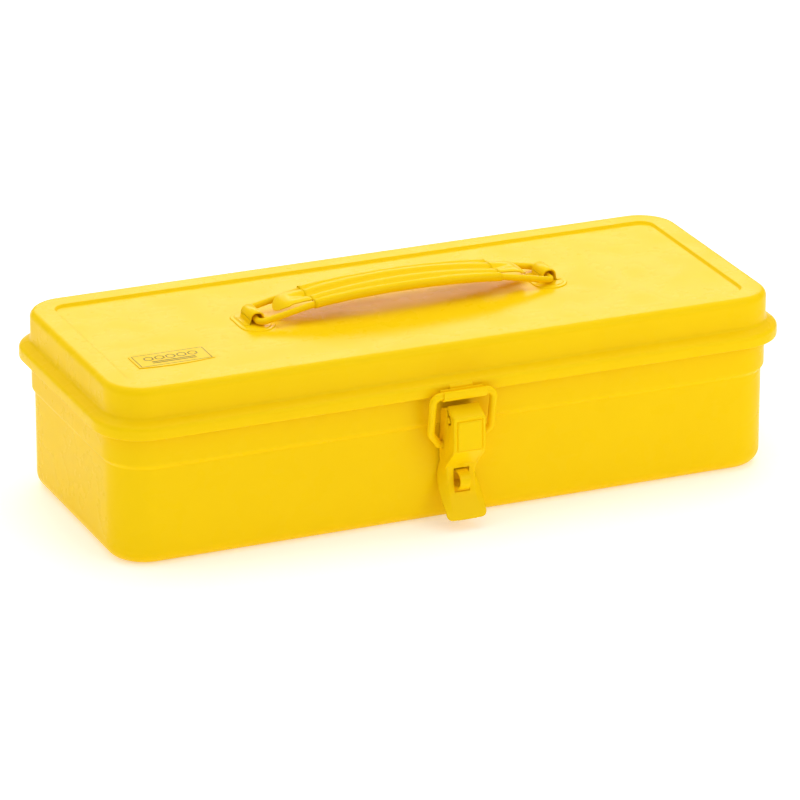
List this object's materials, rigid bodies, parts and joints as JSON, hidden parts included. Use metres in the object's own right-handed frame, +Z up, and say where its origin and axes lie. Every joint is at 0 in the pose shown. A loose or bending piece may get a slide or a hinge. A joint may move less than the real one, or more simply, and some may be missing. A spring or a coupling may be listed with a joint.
{
  "type": "steel toolbox with tray",
  "caption": "Trunk-shaped pressed-steel toolbox with a hinged lid, arched wire-hung handle, toggle latch with padlock staple, and a lift-out inner tray.",
  "frame": {"origin": "centre of the underside of the box, on the surface it stands on", "axes": "+X along the box's length to the right as seen from the latch, +Y from the latch to the hinges, +Z up"},
  "size_m": [0.3328, 0.1554, 0.097],
  "materials": {
    "yellow_paint": "baked semi-gloss yellow enamel over pressed steel",
    "tray_paint": "the same yellow enamel, inside the box",
    "label_paint": null,
    "plated_steel": "plated steel hinge pins"
  },
  "bodies": {
    "body": {"body_shell": "yellow_paint", "latch_base_plate": "yellow_paint", "latch_plate_rivets": "yellow_paint", "padlock_staple": "yellow_paint", "latch_pivot_pin": "yellow_paint", "left_hinge_body_leaf": "yellow_paint", "right_hinge_body_leaf": "yellow_paint", "left_hinge_pin": "plated_steel", "right_hinge_pin": "plated_steel", "hinge_body_rivets": "yellow_paint"},
    "lid": {"lid_shell": "yellow_paint", "left_handle_bracket": "yellow_paint", "right_handle_bracket": "yellow_paint", "lid_catch": "yellow_paint", "label_plate": "label_paint", "left_hinge_lid_leaf": "yellow_paint", "right_hinge_lid_leaf": "yellow_paint", "hinge_lid_rivets": "yellow_paint"},
    "tray": {"tray": "tray_paint"},
    "latch_lever": {"latch_lever": "yellow_paint"},
    "latch_bail": {"latch_bail": "yellow_paint"},
    "handle": {"handle_grip": "yellow_paint", "left_handle_wire": "yellow_paint", "right_handle_wire": "yellow_paint"}
  },
  "joints": [
    {"name": "lid_hinge", "type": "hinge", "parent": "body", "child": "lid", "pos_m": [0, 0.0716, 0.0615], "axis": [-1, 0, 0], "range_deg": [0, 105]},
    {"name": "tray_lift", "type": "slide", "parent": "body", "child": "tray", "axis": [0, 0, 1], "range_m": [0, 0.032]},
    {"name": "lever_swing", "type": "hinge", "parent": "body", "child": "latch_lever", "pos_m": [0, -0.0737, 0.0525], "axis": [-1, 0, 0], "range_deg": [0, 85]},
    {"name": "bail_swing", "type": "hinge", "parent": "latch_lever", "child": "latch_bail", "pos_m": [0, -0.066, 0.0385], "axis": [1, 0, 0], "range_deg": [0, 111]},
    {"name": "handle_play", "type": "slide", "parent": "lid", "child": "handle", "axis": [0, 0, 1], "range_m": [0, 0.001]}
  ],
  "couplings": [
    {"joint": "bail_swing", "follows": "lever_swing", "ratio": 1.3}
  ]
}
